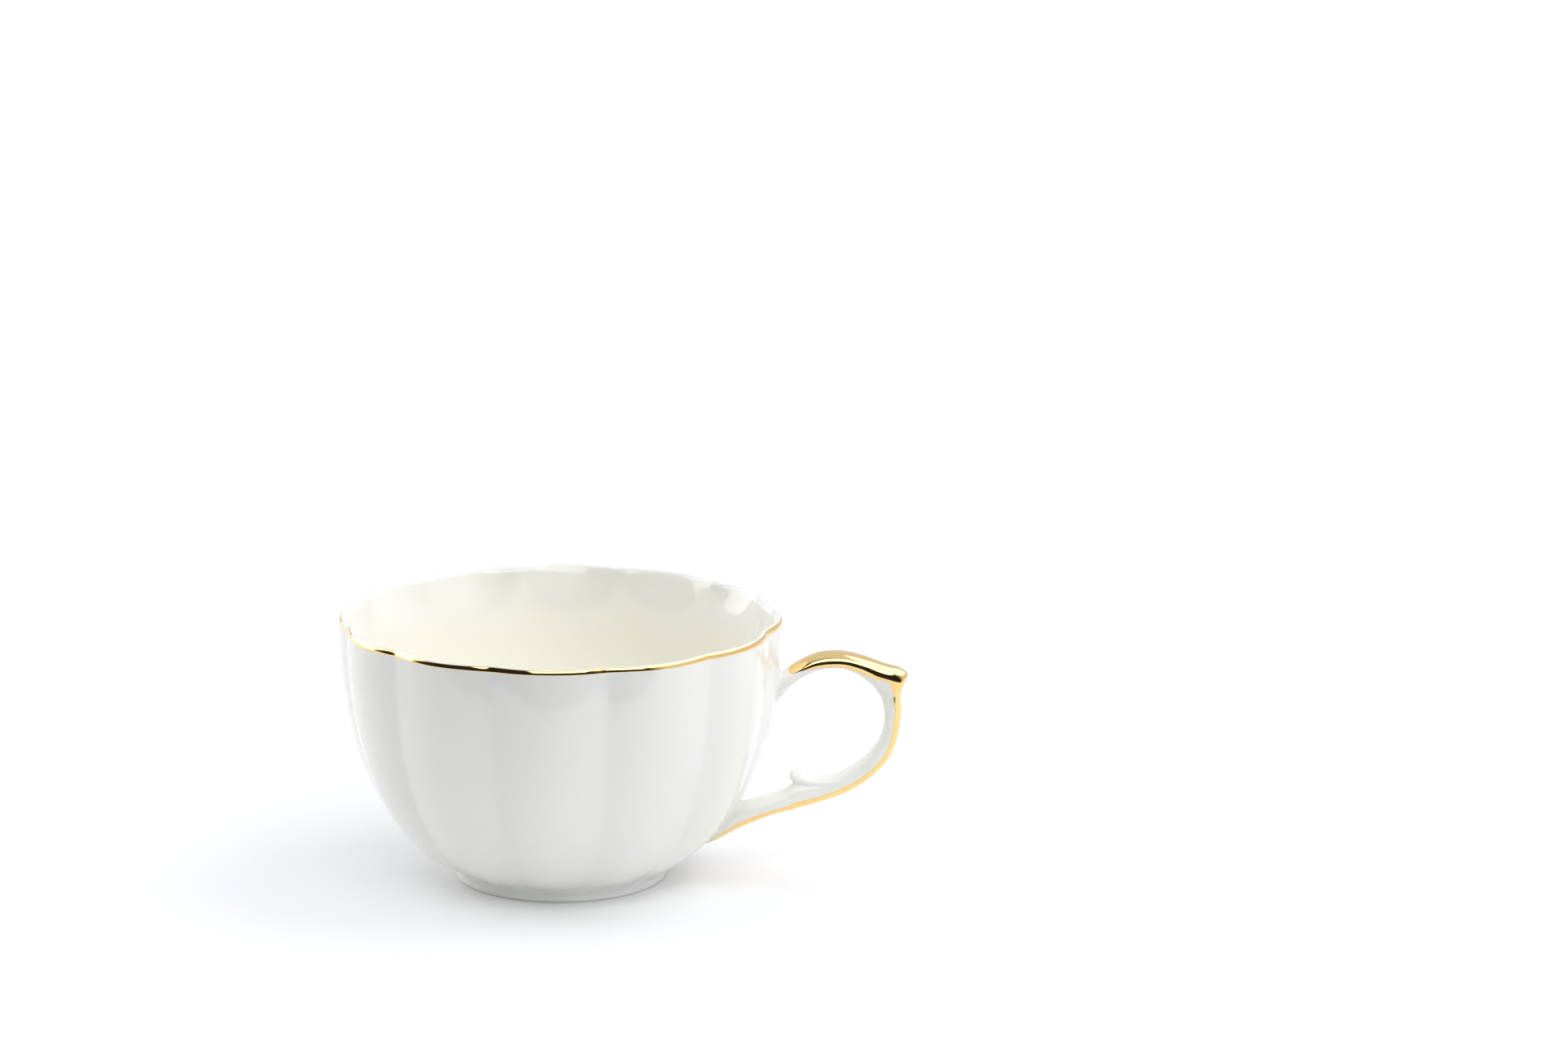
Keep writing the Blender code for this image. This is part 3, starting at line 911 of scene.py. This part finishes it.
def make_floor():
    """A plain white table top that fades to white paper away from the cup."""
    mesh = bpy.data.meshes.new("floor")
    left, front, right, back = -1.5, -0.17, 1.5, 3.0
    corners = [(left, front, 0), (right, front, 0), (right, back, 0), (left, back, 0)]
    mesh.from_pydata(corners, [], [(0, 1, 2, 3)])
    floor = bpy.data.objects.new("floor", mesh)
    bpy.context.scene.collection.objects.link(floor)
    material, nodes, shader, spot = new_material("white_floor")
    shader.inputs["Base Color"].default_value = FLOOR_WHITE
    shader.inputs["Roughness"].default_value = 0.6
    shader.inputs["Specular IOR Level"].default_value = 0.2
    distance = nodes.add("ShaderNodeVectorMath", {0: spot}, operation="LENGTH")
    far = nodes.span(distance.outputs["Value"], PAPER_START, PAPER_FULL)
    seen = nodes.add("ShaderNodeLightPath").outputs["Is Camera Ray"]
    paper = nodes.add("ShaderNodeEmission", {"Color": (1, 1, 1, 1), "Strength": PAPER_GLOW})
    share = nodes.math("MULTIPLY", far, seen)
    mixed = nodes.add(
        "ShaderNodeMixShader",
        {0: share, 1: shader.outputs[0], 2: paper.outputs[0]},
    )
    link(nodes, mixed.outputs[0], material.node_tree.nodes["Material Output"], "Surface")
    mesh.materials.append(material)


def make_window(name, azimuth, elevation, size, radiance, colour):
    """A rectangular lamp that faces the cup and that the camera doesn't see."""
    light = bpy.data.lights.new(name, "AREA")
    light.shape = "RECTANGLE"
    light.size, light.size_y = size
    light.energy = radiance * math.pi * size[0] * size[1]
    light.color = colour
    lamp = bpy.data.objects.new(name, light)
    bpy.context.scene.collection.objects.link(lamp)
    away = direction(azimuth, elevation)
    lamp.location = Vector((0.0, 0.0, HEIGHT * MM / 2)) + away * LAMP_DISTANCE
    lamp.rotation_euler = (-away).to_track_quat("-Z", "Y").to_euler()
    lamp.visible_camera = False


def make_world():
    """A white backdrop behind and over the cup, and a dark room in front of it."""
    world = bpy.data.worlds.new("studio")
    world.use_nodes = True
    bpy.context.scene.world = world
    nodes = Nodes(world.node_tree)
    background = world.node_tree.nodes["Background"]
    ray = nodes.add("ShaderNodeTexCoord").outputs["Generated"]
    dark = direction(DARK_AZIMUTH, DARK_ELEVATION)
    along = nodes.add("ShaderNodeVectorMath", {0: ray, 1: dark}, operation="DOT_PRODUCT")
    lit = nodes.span(along.outputs["Value"], *DARK_EDGE, BACKDROP, DARK_ROOM)
    seen = nodes.add("ShaderNodeLightPath").outputs["Is Camera Ray"]
    colour = nodes.add("ShaderNodeCombineColor")
    for channel, tint in ROOM_TINT:
        level = nodes.math("MAXIMUM", nodes.math("MULTIPLY", lit, tint), seen)
        link(nodes, level, colour, channel)
    link(nodes, colour.outputs[0], background, "Color")
    background.inputs["Strength"].default_value = 1.0


def make_camera():
    camera = bpy.data.cameras.new("camera")
    camera.lens = LENS
    camera.sensor_width = SENSOR_WIDTH
    camera.clip_start = 0.01
    view = bpy.data.objects.new("camera", camera)
    bpy.context.scene.collection.objects.link(view)
    view.matrix_world = (
        Matrix.Translation(CAMERA_PLACE)
        @ Matrix.Rotation(math.pi / 2 - math.radians(CAMERA_PITCH), 4, "X")
        @ Matrix.Rotation(math.radians(CAMERA_ROLL), 4, "Z")
    )
    bpy.context.scene.camera = view


def make_studio():
    make_floor()
    make_world()
    for window in WINDOWS:
        make_window(*window)
    make_camera()
    settings = bpy.context.scene.view_settings
    settings.view_transform = "Standard"
    settings.look = "None"


# ---------------------------------------------------------------- the cup

# Collars: places along the handle inside and outside the wall; reach up the handle and along the wall
UPPER_FILLET = {"inside": 0.3, "outside": 3.0, "up_handle": 1.5, "along_wall": 1.2}
LOWER_FILLET = {"inside": 22.0, "outside": 18.5, "up_handle": 1.5, "along_wall": 1.3}
# Gold on the handle: its first and last place, how far it stands off, how far its borders wander
CREST_GOLD = {"start": 1.45, "end": 8.5, "lift": 0.055, "wander": 0.015}
SPINE_GOLD = {"start": 7.6, "end": 21.2, "lift": 0.045, "wander": 0.02}


def place(piece, node, slot, material):
    """Puts a finished piece in its CAD node's place."""
    piece.data.materials.clear()
    piece.data.materials.append(material)
    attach(piece, "root")
    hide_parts(node)


def main():
    make_studio()
    glaze = glaze_material("bowl_glaze")
    handle_glaze = glaze_material("handle_glaze")
    foot_glaze = foot_material("foot_glaze")
    gold = gold_material("rim_gold")
    handle_gold = gold_material("handle_gold")

    place(make_bowl(), "bowl", "bowl_glaze", glaze)
    place(make_foot_ring(), "foot_ring", "foot_glaze", foot_glaze)
    place(make_rim_gilding(), "rim_gilding", "rim_gold", gold)

    handle = make_handle()
    upper = make_fillet("upper_slip_fillet", **UPPER_FILLET)
    lower = make_fillet("lower_slip_fillet", **LOWER_FILLET)
    place(handle, "handle", "handle_glaze", handle_glaze)
    place(upper, "upper_slip_joint", "handle_glaze", handle_glaze)
    place(lower, "lower_slip_joint", "handle_glaze", handle_glaze)

    tree = surface_tree((handle, upper, lower))
    crest = make_gold_strip("gold_crest", tree, **CREST_GOLD)
    spine = make_gold_strip("gold_spine", tree, **SPINE_GOLD)
    place(crest, "crest_gilding", "handle_gold", handle_gold)
    place(spine, "spine_gilding", "handle_gold", handle_gold)


main()
